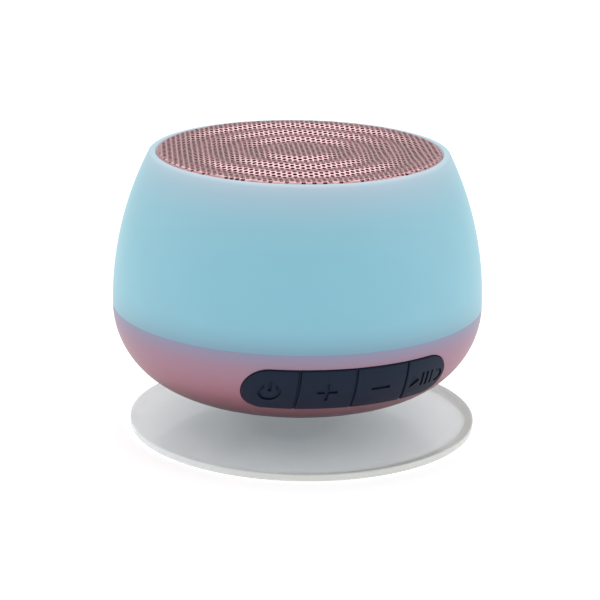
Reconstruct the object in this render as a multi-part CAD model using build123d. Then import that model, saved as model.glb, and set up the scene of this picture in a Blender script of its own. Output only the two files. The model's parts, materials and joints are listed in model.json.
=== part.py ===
from build123d import *
from math import atan2, cos, degrees, hypot, radians, sin, sqrt
import os

# Round splash-proof speaker with a frosted lamp shell, standing on a clear suction cup.
# Millimetres. +Z is up, the keys face -Y, and the origin is the centre of the cup's contact plane.

# ---------------------------------------------------------------- driving dimensions
BODY_R = 44.0  # largest radius, at the seam between the two shells
SEAM_Z = 30.5  # height of that seam
RIM_Z = 66.7  # height of the lamp shell's lip
GRILLE_Z = 67.0  # flat centre and outer ring of the grille
SHELL_ARC = 78.5  # radius of the lamp shell's outer curve
BOWL_ARC = 20.5  # radius of the base shell's outer curve
WALL = 2.2  # wall of both shells
GRILLE_R = 33.6
GRILLE_T = 0.4
CUP_R = 41.5
CUP_EDGE = 1.7  # thickness of the cup at its edge

PAD_L = 48.4  # window for the keys, a slot with round ends
PAD_H = 10.9
PAD_Z = 21.65
KEY_PITCH = 12.6
KEY_GAP = 0.5  # groove between neighbouring keys
KEY_CLEAR = 0.15  # around the keys in their window
KEY_PROUD = 0.45  # the keys stand this far out of the base
KEY_DEPTH = 1.5  # from the base's outer surface to the back of a key's cap
KEY_TRAVEL = 0.6
ICON_DEPTH = 0.35

PORT_Z = 22.5  # centre of the charging port, on the +Y side
STUD_R = 4.95  # stud of the suction cup, turning in the bush
BUSH_R = 5.0
POST_PCD_R = 28.0  # circle of the four case screws
DECK_Z = 62.3  # top of the reflector's deck, which carries the grille
SEAT_Z = 59.5  # seat of the driver in that deck
FLANGE_Z = 31.0  # underside of the reflector's bottom flange
BOARD_Z = 20.0  # underside of the main board
BOARD_T = 1.2
KEY_BOARD_Y = -26.2  # front face of the key board
RUN_GAP = 0.02  # radial gap of a screw in its hole

BOTTOM_Z = SEAM_Z - BOWL_ARC
FLOOR_Z = BOTTOM_Z + WALL
BOWL_C = BODY_R - BOWL_ARC  # the bowl's curve is centred on this radius, at SEAM_Z
SHELL_C = BODY_R - SHELL_ARC
BOARD_TOP = BOARD_Z + BOARD_T


# ---------------------------------------------------------------- helpers
def pt(r, z):
    return Vector(r, 0, z)


def line(*points):
    """Straight edges through (r, z) points."""
    return [Line(pt(*a), pt(*b)) for a, b in zip(points, points[1:])]


def arc(centre, radius, start, end):
    """An arc in the (r, z) plane, by its centre and the angles of its ends in degrees."""
    def on(angle):
        return pt(centre[0] + radius * cos(radians(angle)), centre[1] + radius * sin(radians(angle)))

    return [ThreePointArc(on(start), on((start + end) / 2), on(end))]


def spin(edges):
    """A solid of revolution about Z from a closed chain of edges in the (r, z) plane."""
    return revolve(make_face(Wire([e.edge() for e in edges])), Axis.Z, 360)


def spin_points(*points):
    return spin(line(*points, points[0]))


def tube(r_out, r_in, z0, z1):
    """An upright ring, or a disc when r_in is 0."""
    return spin_points((r_in, z0), (r_out, z0), (r_out, z1), (r_in, z1))


def rod(x, y, r, z0, z1):
    return Pos(x, y, (z0 + z1) / 2) * Cylinder(r, z1 - z0)


def rod_y(x, z, r, y0, y1):
    """A cylinder along Y."""
    return Pos(x, (y0 + y1) / 2, z) * Rot(90, 0, 0) * Cylinder(r, abs(y1 - y0))


def block(x0, x1, y0, y1, z0, z1):
    return Pos((x0 + x1) / 2, (y0 + y1) / 2, (z0 + z1) / 2) * Box(x1 - x0, y1 - y0, z1 - z0)


def on_circle(radius, count, first=0.0):
    return [
        (radius * cos(radians(first + 360 * i / count)), radius * sin(radians(first + 360 * i / count)))
        for i in range(count)
    ]


def fuse(shapes):
    shapes = list(shapes)
    body = shapes[0]
    for s in shapes[1:]:
        body += s
    return body


def group(shapes):
    """Separate solids kept together in one node."""
    return Compound(children=[s for shape in shapes for s in shape.solids()])


def bowl_band(out, inward):
    """The base shell's curve as a ring, from out beyond its outer surface to inward below it."""
    c = (BOWL_C, SEAM_Z)
    r_out, r_in = BOWL_ARC + out, BOWL_ARC - inward
    return spin(
        arc(c, r_out, -90, 0)
        + line((BOWL_C + r_out, SEAM_Z), (BOWL_C + r_in, SEAM_Z))
        + arc(c, r_in, 0, -90)
        + line((BOWL_C, SEAM_Z - r_in), (BOWL_C, SEAM_Z - r_out))
    )


def bowl_edges(shape, out):
    """The edges of shape that lie on the base shell's curve moved outward by out."""
    def off(p):
        return abs(hypot(hypot(p.X, p.Y) - BOWL_C, p.Z - SEAM_Z) - BOWL_ARC - out)

    return [e for e in shape.edges() if all(off(e @ t) < 1e-3 for t in (0.0, 0.3, 0.7, 1.0))]


def front_prism(sketch, z):
    """A sketch in X and Z, centred at height z, carried from the axis out through the -Y side."""
    return extrude(Pos(0, 0, z) * (Plane.XZ * sketch), BODY_R + 5)


def rear_prism(sketch, z):
    """The same, out through the +Y side."""
    return extrude(Pos(0, 0, z) * (Plane.XZ * sketch), -(BODY_R + 5))


def shell_r(z, inward=0.0):
    """Radius of the lamp shell's curve at height z."""
    return SHELL_C + sqrt((SHELL_ARC - inward) ** 2 - (z - SEAM_Z) ** 2)


def screw(x, y, z_seat, shank_r, length, head_r, head_h, up=True):
    """A pan-head screw with a cross recess. Its head sits on z_seat and its shank runs away from it."""
    way = 1 if up else -1
    head = Pos(x, y, z_seat + way * head_h / 2) * Cylinder(head_r, head_h)
    rim = head.edges().filter_by(GeomType.CIRCLE).sort_by(Axis.Z)[-1 if up else 0]
    head = fillet(rim, head_h * 0.45)
    slot_z = z_seat + way * head_h
    slot = Box(head_r * 1.2, head_r * 0.3, head_h) + Box(head_r * 0.3, head_r * 1.2, head_h)
    head -= Pos(x, y, slot_z) * slot
    return head + Pos(x, y, z_seat - way * length / 2) * Cylinder(shank_r, length)


def wire(radius, end_way, *points):
    """A round wire: straight up to its second point, a smooth path, then straight along end_way."""
    spots = [Vector(*p) for p in points]
    curve = Spline(*spots[1:-1], tangents=[Vector(0, 0, 1), Vector(*end_way)])
    path = Wire([Line(*spots[:2]).edge(), curve.edge(), Line(*spots[-2:]).edge()])
    section = Plane(origin=path @ 0, z_dir=path % 0) * Circle(radius)
    return sweep(section, path=path)


# ---------------------------------------------------------------- suction cup
CUP_HUB_R = 12.0
CUP_NECK_R = 8.0
CUP_TOP_Z = 9.7  # the bush turns on this face
CUP_HOLLOW = 1.9  # rise of the underside at the centre
STUD_FLANGE_R = 7.0
STUD_FLANGE_Z = (4.4, 6.2)
STUD_TOP_Z = 16.3


def make_suction_cup():
    underside = line((0, CUP_HOLLOW), (5.0, CUP_HOLLOW)) + [
        ThreePointArc(pt(5.0, CUP_HOLLOW), pt(24.0, 1.25), pt(CUP_R - 2.0, 0.0))
    ]
    edge = (
        line((CUP_R - 2.0, 0.0), (CUP_R - 0.3, 0.0))
        + arc((CUP_R - 0.3, 0.3), 0.3, -90, 0)
        + line((CUP_R, 0.3), (CUP_R, CUP_EDGE - 0.35))
        + arc((CUP_R - 0.35, CUP_EDGE - 0.35), 0.35, 0, 90)
        + line((CUP_R - 0.35, CUP_EDGE), (CUP_R - 1.6, CUP_EDGE))
    )
    top = [
        ThreePointArc(pt(CUP_R - 1.6, CUP_EDGE), pt(26.0, 2.75), pt(CUP_HUB_R, 4.6)),
        ThreePointArc(pt(CUP_HUB_R, 4.6), pt(9.3, 5.9), pt(CUP_NECK_R, 8.4)),
    ]
    neck = (
        line((CUP_NECK_R, 8.4), (CUP_NECK_R, CUP_TOP_Z - 0.5))
        + arc((CUP_NECK_R - 0.5, CUP_TOP_Z - 0.5), 0.5, 0, 90)
        + line((CUP_NECK_R - 0.5, CUP_TOP_Z), (0, CUP_TOP_Z), (0, CUP_HOLLOW))
    )
    cup = spin(underside + edge + top + neck)
    return cup - stud_body(0.0)


def stud_body(bore):
    """The stud's outside, with a screw hole of radius bore."""
    z0, z1 = STUD_FLANGE_Z
    body = tube(STUD_FLANGE_R, 0, z0, z1) + tube(STUD_R, 0, z1, STUD_TOP_Z)
    return body - rod(0, 0, bore, 8.0, STUD_TOP_Z) if bore else body


STUD_SEAL_Z = 12.6


def make_cup_stud():
    groove = tube(STUD_R + 1, STUD_R - 0.95, STUD_SEAL_Z - 0.6, STUD_SEAL_Z + 0.6)
    return stud_body(PIVOT_SCREW_R + RUN_GAP) - groove


def make_stud_seal():
    """O-ring between the stud and its bush."""
    return Pos(0, 0, STUD_SEAL_Z) * Torus(STUD_R - 0.45, 0.45)


# ---------------------------------------------------------------- pivot in the base
BUSH_TOP_Z = 16.0
BUSH_OUT_R = 7.0
COLLAR_T = 1.0
BOSS_R = 9.0
PIVOT_SCREW_R = 1.5
WASHER_T = 0.8


def make_socket_bush():
    """Plastic bush pressed into the base's centre boss, with a collar on its inner end."""
    sleeve = tube(BUSH_OUT_R, BUSH_R, CUP_TOP_Z, BUSH_TOP_Z - COLLAR_T)
    return sleeve + tube(BUSH_OUT_R + 1.2, BUSH_R, BUSH_TOP_Z - COLLAR_T, BUSH_TOP_Z)


def make_pivot_washer():
    return tube(7.4, PIVOT_SCREW_R + 0.1, STUD_TOP_Z, STUD_TOP_Z + WASHER_T)


def make_pivot_screw():
    return screw(0, 0, STUD_TOP_Z + WASHER_T, PIVOT_SCREW_R, 6.0, 2.6, 1.5)


# ---------------------------------------------------------------- base shell
RABBET_R = 42.8  # the lamp shell's tongue drops in here
RABBET_Z = 28.1
POST_R = 3.6
HEAD_SEAT_Z = 24.0  # the case screws' heads bear up against this
STANDOFF_R = 20.0
STANDOFFS = on_circle(STANDOFF_R, 3, -90)
POSTS = on_circle(POST_PCD_R, 4, 45)
MIC_X = -13.0


def make_base_shell():
    c = (BOWL_C, SEAM_Z)
    inner = BOWL_ARC - WALL
    rabbet_foot = BOWL_C + sqrt(inner**2 - (SEAM_Z - RABBET_Z) ** 2)
    foot_angle = degrees(atan2(RABBET_Z - SEAM_Z, rabbet_foot - BOWL_C))
    shell = spin(
        line((0, BOTTOM_Z), (BOWL_C, BOTTOM_Z))
        + arc(c, BOWL_ARC, -90, 0)
        + line((BODY_R, SEAM_Z), (RABBET_R, SEAM_Z), (RABBET_R, RABBET_Z), (rabbet_foot, RABBET_Z))
        + arc(c, inner, foot_angle, -90)
        + line((BOWL_C, FLOOR_Z), (0, FLOOR_Z), (0, BOTTOM_Z))
    )
    # posts stand on the curved floor, trimmed to its outer surface
    inside = tube(BOWL_C, 0, BOTTOM_Z + 0.5, FLANGE_Z) + bowl_band(-0.5, BOWL_ARC - 1.0)
    posts = fuse(rod(x, y, POST_R, BOTTOM_Z, FLANGE_Z) for x, y in POSTS) & (
        inside + tube(36.0, 20.0, SEAM_Z - 4.0, FLANGE_Z)
    )
    standoffs = fuse(rod(x, y, 2.6, BOTTOM_Z + 0.5, BOARD_Z) for x, y in STANDOFFS)
    shell += posts + standoffs + tube(BOSS_R, 0, BOTTOM_Z, BUSH_TOP_Z - COLLAR_T)
    shell -= tube(BUSH_OUT_R, 0, BOTTOM_Z - 1, BUSH_TOP_Z)
    for x, y in POSTS:
        shell -= rod(x, y, 2.5, BOTTOM_Z - 1, HEAD_SEAT_Z)
        shell -= rod(x, y, 1.5, BOTTOM_Z, FLANGE_Z + 1)
    for x, y in STANDOFFS:
        shell -= rod(x, y, TRAY_SCREW_R + RUN_GAP, FLOOR_Z + 1.5, BOARD_Z + 1)
    shell -= front_prism(SlotOverall(PAD_L, PAD_H), PAD_Z) & bowl_band(2, WALL + 1.5)
    # the charging port: a shallow pocket for the flap, then the opening for the plug
    pocket = Pos((POCKET_X1 - POCKET_X0) / 2, 0) * RectangleRounded(POCKET_X0 + POCKET_X1, FLAP_H + 0.4, 2.2)
    shell -= rear_prism(pocket, PORT_Z) & bowl_band(2, FLAP_T + 0.15)
    shell -= rear_prism(RectangleRounded(PORT_L, PORT_H, 1.2), PORT_Z) & bowl_band(2, WALL + 1.5)
    shell -= rod_y(ANCHOR_X, PORT_Z, 1.0, 30, BODY_R + 1)
    shell -= rod_y(MIC_X, PORT_Z, 0.6, 30, BODY_R + 1)
    for x in (-BRACKET_SCREW_X, BRACKET_SCREW_X):
        shell -= rod_y(x, PAD_Z, 0.8 + RUN_GAP, BRACKET_SEAT_Y, BRACKET_SEAT_Y - BRACKET_SCREW_L)
    return shell


SEAL_SIZE = 0.8


def make_seam_seal():
    """Square ring with bevelled corners, under the lamp shell's tongue."""
    r0, r1 = RABBET_R - 1.1, RABBET_R - 0.3
    z0, z1, cut = RABBET_Z, TONGUE_Z, 0.2
    return spin_points(
        (r0 + cut, z0),
        (r1 - cut, z0),
        (r1, z0 + cut),
        (r1, z1 - cut),
        (r1 - cut, z1),
        (r0 + cut, z1),
        (r0, z1 - cut),
        (r0, z0 + cut),
    )


# ---------------------------------------------------------------- keys
KEY_POST_R = 1.5
PLUNGER_Y = KEY_BOARD_Y - 2.3  # front end of the switch plungers
SWITCH_Y = KEY_BOARD_Y - 1.6  # front face of the switch bodies
KEY_X = {"power": -18.6, "plus": -6.3, "minus": 6.3, "play": 18.2}


def key_span(index):
    """Left and right limits in X of one key, counted from the left."""
    half = (PAD_L - 2 * KEY_CLEAR) / 2
    cuts = [-half, -KEY_PITCH, 0.0, KEY_PITCH, half]
    left = cuts[index] + (KEY_GAP / 2 if index > 0 else 0)
    right = cuts[index + 1] - (KEY_GAP / 2 if index < 3 else 0)
    return left, right


STROKE = 0.7  # width of the lines of the icons


def icon_power():
    ring = Circle(2.35) - Circle(2.35 - STROKE) - Pos(0, 2.2) * Rectangle(2.3, 2.8)
    return ring + Pos(0, 1.5) * Rectangle(STROKE, 2.5)


def icon_plus():
    return Rectangle(4.6, STROKE) + Rectangle(STROKE, 4.6)


def icon_minus():
    return Rectangle(4.6, STROKE)


def icon_play():
    """A play triangle, two pause bars, a divider and a plain handset."""
    triangle = make_face(Polyline((-4.0, -1.9), (-1.6, 0), (-4.0, 1.9), close=True))
    bars = Pos(-0.8, 0) * Rectangle(0.6, 3.8) + Pos(0.5, 0) * Rectangle(0.6, 3.8)
    divider = Pos(1.8, 0) * Rectangle(0.45, 3.8)
    handset = Pos(3.1, 0) * (Circle(1.9) - Circle(1.2) - Pos(-1.6, 0) * Rectangle(3.2, 4))
    return triangle + bars + divider + handset


def make_key(index, x, icon):
    left, right = key_span(index)
    outline = SlotOverall(PAD_L - 2 * KEY_CLEAR, PAD_H - 2 * KEY_CLEAR)
    window = Pos((left + right) / 2, 0) * Rectangle(right - left, PAD_H + 2)
    cap = bowl_band(KEY_PROUD, KEY_DEPTH) & front_prism(outline & window, PAD_Z)
    cap = fillet(bowl_edges(cap, KEY_PROUD), 0.3)
    skin = bowl_band(KEY_PROUD + 1, ICON_DEPTH - KEY_PROUD)
    cap -= front_prism(Pos(x, 0) * icon(), PAD_Z - 0.3) & skin
    post = rod_y(x, PAD_Z, KEY_POST_R, PLUNGER_Y, -BODY_R) & bowl_band(-0.6, BOWL_ARC - 0.5)
    reach = rod_y(x, PAD_Z, KEY_POST_R, PLUNGER_Y, PLUNGER_Y - 6)
    return cap + (post + reach)


MAT_T = 0.8
MAT_TOP_Z = 28.0
MAT_BOTTOM_Z = 15.6
MAT_HALF_L = 30.0
RIB_T = 0.3
RIB_PROUD = 0.1  # the ribs end this far outside the base's surface


def make_keypad_mat():
    """Thin rubber band behind the keys, pierced for their posts, with a rib in each groove."""
    band = bowl_band(-WALL, WALL + MAT_T)
    band &= block(-MAT_HALF_L, MAT_HALF_L, -BODY_R, -20, MAT_BOTTOM_Z, MAT_TOP_Z)
    for x in (-KEY_PITCH, 0.0, KEY_PITCH):
        rib = front_prism(Pos(x, 0) * Rectangle(RIB_T, PAD_H - 2 * KEY_CLEAR), PAD_Z)
        band += rib & bowl_band(RIB_PROUD, WALL + MAT_T)
    for x in KEY_X.values():
        band -= rod_y(x, PAD_Z, KEY_POST_R + 0.5, PLUNGER_Y, -BODY_R)
    for x in (-BRACKET_SCREW_X, BRACKET_SCREW_X):
        band -= rod_y(x, PAD_Z, 1.0, BRACKET_SEAT_Y, -BODY_R)
    return band


BRACKET_PEG_X = 12.6
BRACKET_T = 1.3
BRACKET_SCREW_X = 27.2
BRACKET_SEAT_Y = -24.0  # under the heads of the bracket's own screws
BRACKET_SCREW_L = 6.2


def make_keypad_bracket():
    """Curved clamp behind the mat, with two pegs that carry the key board."""
    near = WALL + MAT_T
    plate = bowl_band(-near, near + BRACKET_T)
    plate &= block(-MAT_HALF_L, MAT_HALF_L, -BODY_R, -18, MAT_BOTTOM_Z + 2, MAT_TOP_Z)
    for x in KEY_X.values():
        plate -= rod_y(x, PAD_Z, KEY_POST_R + 0.8, PLUNGER_Y + 6, -BODY_R)
    for x in (-BRACKET_SCREW_X, BRACKET_SCREW_X):
        plate += rod_y(x, PAD_Z, 2.3, BRACKET_SEAT_Y, -BODY_R) & bowl_band(-near, BOWL_ARC - 0.5)
        plate -= rod_y(x, PAD_Z, 2.3, BRACKET_SEAT_Y, BRACKET_SEAT_Y + 6)
        plate -= rod_y(x, PAD_Z, 1.0, -BODY_R, BRACKET_SEAT_Y + 1)
    for x in (-BRACKET_PEG_X, BRACKET_PEG_X):
        peg = rod_y(x, PAD_Z, 1.9, KEY_BOARD_Y, -BODY_R) & bowl_band(-near, BOWL_ARC - 0.5)
        peg += rod_y(x, PAD_Z, 1.9, KEY_BOARD_Y, KEY_BOARD_Y - 8)
        plate += peg
        plate -= rod_y(x, PAD_Z, 0.8 + RUN_GAP, KEY_BOARD_Y + 1, KEY_BOARD_Y - 5)
    return plate


def make_bracket_screws():
    def one(x):
        s = screw(0, 0, 0, 0.8, BRACKET_SCREW_L, 1.5, 0.9)
        return Pos(x, BRACKET_SEAT_Y, PAD_Z) * Rot(-90, 0, 0) * s

    return group(one(x) for x in (-BRACKET_SCREW_X, BRACKET_SCREW_X))


KEY_BOARD_T = 1.2


def make_key_board():
    board = block(-21.4, 21.4, KEY_BOARD_Y, KEY_BOARD_Y + KEY_BOARD_T, PAD_Z - 3.4, PAD_Z + 4.4)
    for x in (-BRACKET_PEG_X, BRACKET_PEG_X):
        board -= rod_y(x, PAD_Z, 0.8 + RUN_GAP, KEY_BOARD_Y - 1, KEY_BOARD_Y + 3)
    return board


def make_key_board_screws():
    def one(x):
        s = screw(0, 0, 0, 0.8, 5.0, 1.5, 0.9)
        return Pos(x, KEY_BOARD_Y + KEY_BOARD_T, PAD_Z) * Rot(-90, 0, 0) * s

    return group(one(x) for x in (-BRACKET_PEG_X, BRACKET_PEG_X))


def make_tact_switches():
    def one(x):
        half = 2.1
        body = block(x - half, x + half, SWITCH_Y, KEY_BOARD_Y, PAD_Z - half, PAD_Z + half)
        return body - rod_y(x, PAD_Z, 1.1, SWITCH_Y - 1, SWITCH_Y + 1.2)

    return group(one(x) for x in KEY_X.values())


def make_plunger(x):
    """A switch's plunger, touching its key's post and free to sink into the switch."""
    return rod_y(x, PAD_Z, 1.0, PLUNGER_Y, SWITCH_Y + 0.4)


# ---------------------------------------------------------------- charging port cover
FLAP_L = 13.0
FLAP_H = 8.0
FLAP_T = 1.1
PLUG_L = 8.0
PLUG_H = 3.4
PORT_L = 9.2  # opening in the wall
PORT_H = 4.4
ANCHOR_X = 9.0
POCKET_X0 = FLAP_L / 2 + 0.2  # the pocket's reach from the port's centre, to -X and to +X
POCKET_X1 = 10.6


def make_port_cover():
    flap = bowl_band(0.25, FLAP_T) & rear_prism(RectangleRounded(FLAP_L, FLAP_H, 2.0), PORT_Z)
    flap = fillet(bowl_edges(flap, 0.25), 0.25)
    grip = rear_prism(Pos(-5.1, 0) * SlotOverall(4.6, 1.0, rotation=90), PORT_Z)
    flap += grip & bowl_band(0.8, 0.5)
    plug = rear_prism(RectangleRounded(PLUG_L, PLUG_H, 1.0), PORT_Z) & bowl_band(-FLAP_T, FLAP_T + 1.0)
    return flap + plug


def make_port_cover_anchor():
    """The far end of the cover's tether: a pad in the pocket with a stem through the wall."""
    outline = Pos(ANCHOR_X, 0) * RectangleRounded(2.6, 5.0, 0.8)
    pad = bowl_band(0.1, FLAP_T + 0.15) & rear_prism(outline, PORT_Z)
    stem = rod_y(ANCHOR_X, PORT_Z, 0.95, 30, BODY_R) & bowl_band(-FLAP_T, WALL + 0.3)
    barb = rod_y(ANCHOR_X, PORT_Z, 1.5, 30, BODY_R) & bowl_band(-WALL, WALL + 0.9)
    return pad + stem + barb


# ---------------------------------------------------------------- electronics
USB_Y = 38.3  # mouth of the charging socket
BOARD_R = 23.8


def make_main_board():
    board = tube(BOARD_R, 0, BOARD_Z, BOARD_TOP)
    board += block(-9, 9, 18, USB_Y - 0.6, BOARD_Z, BOARD_TOP)
    board &= tube(37.4, 0, 0, SEAM_Z)
    for x, y in STANDOFFS:
        board -= rod(x, y, TRAY_SCREW_R + 0.2, BOARD_Z - 1, BOARD_TOP + 1)
    return board


def make_bluetooth_chip():
    return block(-17.0, -10.5, -3.5, 3.0, BOARD_TOP, BOARD_TOP + 0.9)


def make_amplifier_chip():
    body = block(9.0, 14.0, -2.5, 2.5, BOARD_TOP, BOARD_TOP + 1.5)
    legs = [
        block(9.6 + 1.2 * i, 10.1 + 1.2 * i, side * 3.0 - 0.6, side * 3.0 + 0.6, BOARD_TOP, BOARD_TOP + 0.3)
        for i in range(4)
        for side in (-1, 1)
    ]
    return fuse([body] + legs)


def make_capacitors():
    def one(x, y):
        base = block(x - 2.7, x + 2.7, y - 2.7, y + 2.7, BOARD_TOP, BOARD_TOP + 0.5)
        return base + rod(x, y, 2.4, BOARD_TOP + 0.5, BOARD_TOP + 3.6)

    return group(one(x, y) for x, y in ((5.0, 11.5), (11.5, 11.5)))


CONNECTORS = {"battery": (-7.0, -11.0), "speaker": (-17.5, -8.0), "led": (14.0, -8.5), "keys": (7.5, -14.5)}


def make_board_connectors():
    def one(x, y):
        shell = block(x - 2.6, x + 2.6, y - 1.9, y + 1.9, BOARD_TOP, BOARD_TOP + 2.6)
        return shell - block(x - 2.1, x + 2.1, y - 1.2, y + 1.2, BOARD_TOP + 1.0, BOARD_TOP + 3.0)

    return group(one(x, y) for x, y in CONNECTORS.values())


def make_usb_socket():
    """Small five-pin charging socket: a folded steel can with a tongue."""
    z0 = BOARD_TOP
    can = block(-3.75, 3.75, USB_Y - 5.4, USB_Y, z0, z0 + 2.6)
    can = chamfer(can.edges().filter_by(Axis.Y).group_by(Axis.Z)[0], 0.6)
    can -= block(-3.4, 3.4, USB_Y - 4.6, USB_Y + 1, z0 + 0.65, z0 + 2.3)
    return can + block(-2.2, 2.2, USB_Y - 5.0, USB_Y - 1.0, z0 + 1.3, z0 + 1.75)


def make_microphone():
    """Electret capsule with a rubber boot against the base's inner wall."""
    boot = rod_y(MIC_X, PORT_Z, 2.6, 30.0, BODY_R) & bowl_band(-WALL, WALL + 5.0)
    return boot - rod_y(MIC_X, PORT_Z, 0.5, 36.0, BODY_R)


TRAY_Z = 26.0
TRAY_T = 1.4
TRAY_SCREW_R = 1.0
CELL = (30.0, 28.0, 5.6)  # pouch cell, width, depth and thickness


def make_battery_tray():
    half_x, half_y = CELL[0] / 2 + 1.2, CELL[1] / 2 + 1.2
    plate = extrude(Pos(0, 0, TRAY_Z) * RectangleRounded(2 * half_x, 2 * half_y, 2.0), TRAY_T)
    sleeves = [rod(x, y, 2.6, BOARD_TOP, TRAY_Z + TRAY_T) for x, y in STANDOFFS]
    arms = [
        Rot(0, 0, degrees(atan2(y, x))) * block(6.0, STANDOFF_R, -1.8, 1.8, TRAY_Z, TRAY_Z + TRAY_T)
        for x, y in STANDOFFS
    ]
    lip = block(-half_x, half_x, -half_y, half_y, TRAY_Z + TRAY_T, TRAY_Z + TRAY_T + 1.6)
    lip &= extrude(Pos(0, 0, TRAY_Z) * RectangleRounded(2 * half_x, 2 * half_y, 2.0), 5)
    lip -= block(-half_x + 1.1, half_x - 1.1, -half_y + 1.1, half_y - 1.1, TRAY_Z, TRAY_Z + 6)
    lip -= block(-9, 9, -20, 20, TRAY_Z + TRAY_T, TRAY_Z + 6)
    tray = fuse([plate] + arms) + lip
    for x, y in STANDOFFS:
        tray -= rod(x, y, 2.6, TRAY_Z - 1, TRAY_Z + 6)
    tray = fuse([tray] + sleeves)
    for x, y in STANDOFFS:
        tray -= rod(x, y, TRAY_SCREW_R + 0.2, BOARD_TOP - 1, TRAY_Z + 4)
    return tray


def make_battery():
    """Soft pouch cell lying in its tray."""
    cell = Pos(0, 0, TRAY_Z + TRAY_T + CELL[2] / 2) * Box(*CELL)
    return fillet(cell.edges().filter_by(Axis.Y), 1.6)


def make_board_screws():
    seat = TRAY_Z + TRAY_T
    return group(screw(x, y, seat, TRAY_SCREW_R, seat - BOARD_Z + 5.0, 2.0, 1.3) for x, y in STANDOFFS)


# ---------------------------------------------------------------- reflector frame and lamp
DECK_R = 34.6
SEAT_R = 26.8
DRIVER_HOLE_R = 24.3
LED_BOARD_T = 1.0
FLANGE_T = 1.6
LED_COUNT = 12
LED_WIRE_XY = (38.6, 3.0)  # hole for the lamp's lead


def make_inner_frame():
    """White reflector: a cone that lights the shell, a deck for the driver, a flange on the base's posts."""
    top = FLANGE_Z + FLANGE_T
    frame = spin_points(
        (DECK_R, DECK_Z),
        (SEAT_R, DECK_Z),
        (SEAT_R, SEAT_Z),
        (DRIVER_HOLE_R, SEAT_Z),
        (DRIVER_HOLE_R, SEAT_Z - 2.2),
        (31.6, SEAT_Z - 2.2),
        (34.6, top),
        (25.2, top),
        (25.2, FLANGE_Z),
        (41.2, FLANGE_Z),
        (41.2, top),
        (36.2, top),
        (33.2, SEAT_Z + 0.8),
        (DECK_R, SEAT_Z + 0.8),
    )
    bosses = fuse(rod(x, y, 3.0, FLANGE_Z, FLANGE_Z + 7.0) for x, y in POSTS)
    frame += bosses
    frame -= rod(*LED_WIRE_XY, 0.7, FLANGE_Z - 1, top + 1)
    for x, y in POSTS:
        frame -= rod(x, y, CASE_SCREW_R + RUN_GAP, FLANGE_Z - 1, FLANGE_Z + 6.0)
    for x, y in on_circle(DRIVER_SCREW_PCD_R, 4, 0):
        frame -= rod(x, y, DRIVER_SCREW_R + RUN_GAP, SEAT_Z - 1.8, SEAT_Z + 1)
    return frame


LED_BOARD_IN = 36.6
LED_BOARD_OUT = 41.0


def make_led_board():
    z = FLANGE_Z + FLANGE_T
    board = tube(LED_BOARD_OUT, LED_BOARD_IN, z, z + LED_BOARD_T)
    return board - rod(*LED_WIRE_XY, 0.7, z - 1, z + 2)


def make_led_chips():
    z = FLANGE_Z + FLANGE_T + LED_BOARD_T
    chip = block(-1.4, 1.4, -1.75, 1.75, z, z + 1.2)
    lens = Pos(0, 0, z + 1.2) * Cone(1.25, 0.9, 0.5, align=(Align.CENTER, Align.CENTER, Align.MIN))
    one = Pos(38.8, 0, 0) * (chip + lens)
    return group(Rot(0, 0, (i + 0.5) * 360 / LED_COUNT) * one for i in range(LED_COUNT))


CASE_SCREW_R = 1.25


def make_case_screws():
    length = FLANGE_Z + 5.0 - HEAD_SEAT_Z
    return group(screw(x, y, HEAD_SEAT_Z, CASE_SCREW_R, length, 2.3, 1.7, up=False) for x, y in POSTS)


# ---------------------------------------------------------------- lamp shell
LIP_R = 33.85  # opening that the grille drops into
SHOULDER_Z = 62.9
TONGUE_Z = RABBET_Z + SEAL_SIZE


def make_diffuser_shell():
    c = (SHELL_C, SEAM_Z)
    lip_round = 0.65
    lip_z = RIM_Z - lip_round
    lip_out = shell_r(lip_z)
    inner = SHELL_ARC - WALL
    shoulder_r = shell_r(SHOULDER_Z, WALL)
    tongue_r = RABBET_R - 0.08
    tongue_in = BODY_R - WALL - 0.3

    def angle(r, z):
        return degrees(atan2(z - SEAM_Z, r - SHELL_C))

    outline = arc(c, SHELL_ARC, 0, angle(lip_out, lip_z))
    outline += [ThreePointArc(pt(lip_out, lip_z), pt(lip_out - 0.3, RIM_Z - 0.2), pt(lip_out - 0.9, RIM_Z))]
    outline += line((lip_out - 0.9, RIM_Z), (LIP_R, RIM_Z), (LIP_R, SHOULDER_Z), (shoulder_r, SHOULDER_Z))
    outline += arc(c, inner, angle(shoulder_r, SHOULDER_Z), 0)
    outline += line(
        (BODY_R - WALL, SEAM_Z),
        (tongue_in, SEAM_Z - 0.4),
        (tongue_in, TONGUE_Z),
        (tongue_r, TONGUE_Z),
        (tongue_r, SEAM_Z),
        (BODY_R, SEAM_Z),
    )
    return spin(outline)


def make_top_seal():
    """Flat rubber ring squeezed between the lamp shell's shoulder and the deck."""
    return tube(34.4, LIP_R + 0.05, DECK_Z, SHOULDER_Z)


# ---------------------------------------------------------------- driver
GASKET_T = 0.5
FLANGE_SEAT_Z = SEAT_Z + GASKET_T  # underside of the basket's flange
BASKET_T = 0.9
DRIVER_SCREW_PCD_R = 25.4
DRIVER_SCREW_R = 0.8
PLATE_Z = (46.6, 48.6)  # top plate of the motor
MAGNET_Z = 40.6
YOKE_Z = 38.1
COIL_R = 7.6
POLE_R = 7.1
CONE_NECK_Z = 55.7
CONE_RIM_R = 19.6
CONE_RIM_Z = FLANGE_SEAT_Z + 1.2
SURROUND_R = 23.4
TERMINAL_AZ = 195.0


def make_driver_gasket():
    ring = tube(26.5, DRIVER_HOLE_R, SEAT_Z, FLANGE_SEAT_Z)
    for x, y in on_circle(DRIVER_SCREW_PCD_R, 4, 0):
        ring -= rod(x, y, 0.85, SEAT_Z - 1, FLANGE_SEAT_Z + 1)
    return ring


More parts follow.
